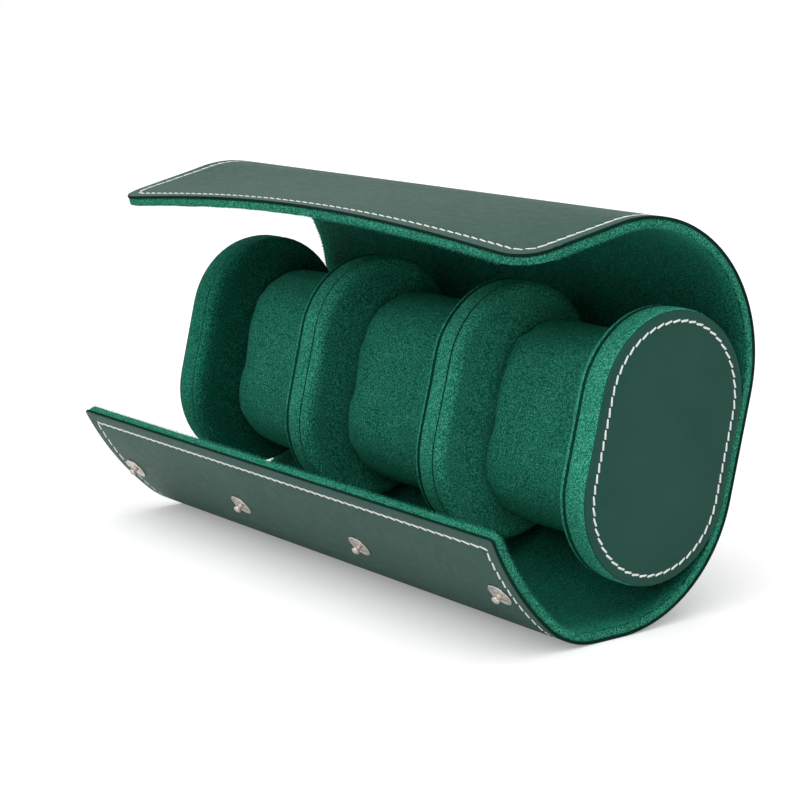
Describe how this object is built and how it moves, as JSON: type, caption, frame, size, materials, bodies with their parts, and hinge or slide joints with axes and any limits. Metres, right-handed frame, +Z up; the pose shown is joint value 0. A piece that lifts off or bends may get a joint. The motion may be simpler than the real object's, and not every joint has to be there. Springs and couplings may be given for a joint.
{
  "type": "watch travel case",
  "caption": "Stitched leather watch roll lined with suede, with padded plates between its bays, a removable pillow in each bay and a wrap closed by snaps.",
  "frame": {"origin": "centre of the flat strip under the case that it rests on", "axes": "+X along the roll, -Y out of the mouth towards the flaps' free edges, +Z up"},
  "size_m": [0.2, 0.0961, 0.1124],
  "materials": {
    "leather_green": "satin",
    "suede_green": "matte",
    "board": "matte",
    "plate_board": "matte",
    "foam": "matte",
    "nickel": "polished"
  },
  "bodies": {
    "case": {"wrap_back_leather": "leather_green", "wrap_back_board": "board", "wrap_back_lining": "suede_green", "left_cap_facing": "leather_green", "left_cap_band": "suede_green", "left_cap_core": "plate_board", "left_cap_pad": "suede_green", "left_divider_band": "suede_green", "left_divider_core": "plate_board", "left_divider_pad_left": "suede_green", "left_divider_pad_right": "suede_green", "right_cap_facing": "leather_green", "right_cap_band": "suede_green", "right_cap_core": "plate_board", "right_cap_pad": "suede_green", "right_divider_band": "suede_green", "right_divider_core": "plate_board", "right_divider_pad_left": "suede_green", "right_divider_pad_right": "suede_green"},
    "crown_rear": {"crown_rear_leather": "leather_green", "crown_rear_board": "board", "crown_rear_lining": "suede_green"},
    "crown_front": {"crown_front_leather": "leather_green", "crown_front_board": "board", "crown_front_lining": "suede_green"},
    "top_flap": {"top_flap_leather": "leather_green", "top_flap_board": "board", "top_flap_lining": "suede_green", "snap_sockets": "nickel", "socket_springs": "nickel", "socket_washers": "nickel"},
    "heel": {"heel_leather": "leather_green", "heel_board": "board", "heel_lining": "suede_green"},
    "low_flap": {"low_flap_leather": "leather_green", "low_flap_board": "board", "low_flap_lining": "suede_green", "snap_studs": "nickel", "stud_washers": "nickel"},
    "left_pillow": {"left_pillow_cover": "suede_green", "left_pillow_ends": "suede_green", "left_pillow_foam": "foam"},
    "middle_pillow": {"middle_pillow_cover": "suede_green", "middle_pillow_ends": "suede_green", "middle_pillow_foam": "foam"},
    "right_pillow": {"right_pillow_cover": "suede_green", "right_pillow_ends": "suede_green", "right_pillow_foam": "foam"}
  },
  "joints": [
    {"name": "back_fold", "type": "hinge", "parent": "case", "child": "crown_rear", "pos_m": [0, 0.04995, 0.06491], "axis": [-1, 0, 0], "range_deg": [-25.1, 15.06]},
    {"name": "crown_fold", "type": "hinge", "parent": "crown_rear", "child": "crown_front", "pos_m": [0, 0.04061, 0.09671], "axis": [-1, 0, 0], "range_deg": [-18.98, 11.39]},
    {"name": "flap_fold", "type": "hinge", "parent": "crown_front", "child": "top_flap", "pos_m": [0, -0.00452, 0.10919], "axis": [-1, 0, 0], "range_deg": [-28.44, 17.06]},
    {"name": "heel_fold", "type": "hinge", "parent": "case", "child": "heel", "pos_m": [0, 0.03601, 0.01803], "axis": [1, 0, 0], "range_deg": [-17.15, 0]},
    {"name": "toe_fold", "type": "hinge", "parent": "heel", "child": "low_flap", "pos_m": [0, -0.00457, 0.00161], "axis": [1, 0, 0], "range_deg": [-32.04, 0]},
    {"name": "left_pillow_slide", "type": "slide", "parent": "case", "child": "left_pillow", "axis": [0, -0.9397, 0.342], "range_m": [0, 0.09]},
    {"name": "middle_pillow_slide", "type": "slide", "parent": "case", "child": "middle_pillow", "axis": [0, -0.9397, 0.342], "range_m": [0, 0.09]},
    {"name": "right_pillow_slide", "type": "slide", "parent": "case", "child": "right_pillow", "axis": [0, -0.9397, 0.342], "range_m": [0, 0.09]}
  ],
  "couplings": [
    {"joint": "crown_fold", "follows": "back_fold", "ratio": 0.756},
    {"joint": "flap_fold", "follows": "back_fold", "ratio": 1.133},
    {"joint": "toe_fold", "follows": "heel_fold", "ratio": 1.868}
  ]
}
